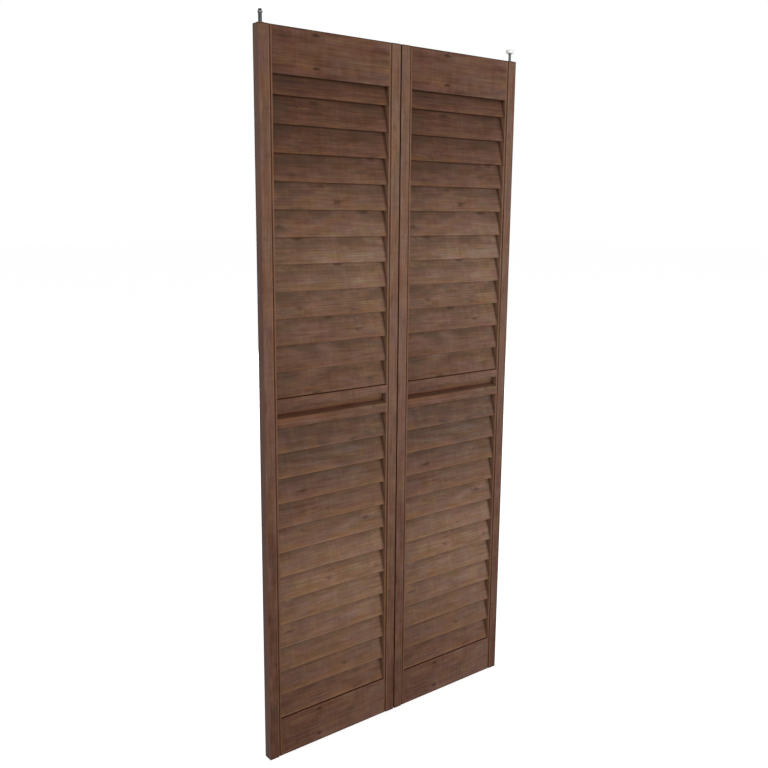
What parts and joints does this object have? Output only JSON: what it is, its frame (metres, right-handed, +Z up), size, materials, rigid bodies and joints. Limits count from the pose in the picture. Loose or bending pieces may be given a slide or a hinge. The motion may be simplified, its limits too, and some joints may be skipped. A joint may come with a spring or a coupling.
{
  "type": "louvred bifold closet door",
  "caption": "Two-leaf louvred bifold closet door in brown stained wood, with fixed slats, finger grooves, back hinges and sprung top pins.",
  "frame": {"origin": "on the pivot axis, at the mouth of the bottom pivot socket in the foot of the pivot leaf", "axes": "+X along the width from the pivot side to the lead side, +Y from the room into the closet, +Z up"},
  "size_m": [0.902, 0.036, 2.0348],
  "materials": {
    "stile_wood": "satin walnut stain, grain along the stile",
    "rail_wood": "satin walnut stain, grain along the rail, small knots",
    "slat_wood": "satin walnut stain, grain along the slat",
    "dowel_wood": "raw beech",
    "hinge_steel": "zinc plated",
    "screw_steel": "zinc plated",
    "pin_steel": "turned steel, dull",
    "spring_steel": "bright wire",
    "sleeve_nylon": "moulded, matt",
    "roller_nylon": "moulded, matt"
  },
  "bodies": {
    "pivot_leaf": {"pivot_leaf_outer_stile": "stile_wood", "pivot_leaf_meeting_stile": "stile_wood", "pivot_leaf_top_rail": "rail_wood", "pivot_leaf_mid_rail": "rail_wood", "pivot_leaf_bottom_rail": "rail_wood", "pivot_leaf_upper_slats": "slat_wood", "pivot_leaf_lower_slats": "slat_wood", "pivot_leaf_dowels": "dowel_wood", "lower_hinge_pivot_plate": "hinge_steel", "middle_hinge_pivot_plate": "hinge_steel", "upper_hinge_pivot_plate": "hinge_steel", "lower_hinge_pin": "hinge_steel", "middle_hinge_pin": "hinge_steel", "upper_hinge_pin": "hinge_steel", "pivot_leaf_hinge_screws": "screw_steel", "top_pivot_sleeve": "sleeve_nylon", "top_pivot_spring": "spring_steel", "bottom_pivot_socket": "sleeve_nylon"},
    "lead_leaf": {"lead_leaf_outer_stile": "stile_wood", "lead_leaf_meeting_stile": "stile_wood", "lead_leaf_top_rail": "rail_wood", "lead_leaf_mid_rail": "rail_wood", "lead_leaf_bottom_rail": "rail_wood", "lead_leaf_upper_slats": "slat_wood", "lead_leaf_lower_slats": "slat_wood", "lead_leaf_dowels": "dowel_wood", "lower_hinge_lead_plate": "hinge_steel", "middle_hinge_lead_plate": "hinge_steel", "upper_hinge_lead_plate": "hinge_steel", "lead_leaf_hinge_screws": "screw_steel", "guide_sleeve": "sleeve_nylon", "guide_spring": "spring_steel"},
    "top_pivot": {"top_pivot_pin": "pin_steel"},
    "guide": {"guide_pin": "pin_steel"},
    "roller": {"guide_roller": "roller_nylon"}
  },
  "joints": [
    {"name": "leaf_fold", "type": "hinge", "parent": "pivot_leaf", "child": "lead_leaf", "pos_m": [0.4375, 0.018, 0], "axis": [0, 0, 1], "range_deg": [0, 180]},
    {"name": "pivot_pin_press", "type": "slide", "parent": "pivot_leaf", "child": "top_pivot", "axis": [0, 0, 1], "range_m": [-0.015, 0], "stiffness_N_per_m": 400, "springref_m": 0.01, "deforming": ["top_pivot_spring"]},
    {"name": "guide_pin_press", "type": "slide", "parent": "lead_leaf", "child": "guide", "axis": [0, 0, 1], "range_m": [-0.015, 0], "stiffness_N_per_m": 400, "springref_m": 0.01, "deforming": ["guide_spring"]},
    {"name": "roller_spin", "type": "hinge", "parent": "guide", "child": "roller", "pos_m": [0.875, 0, 2.03], "axis": [0, 0, 1], "continuous": true}
  ]
}
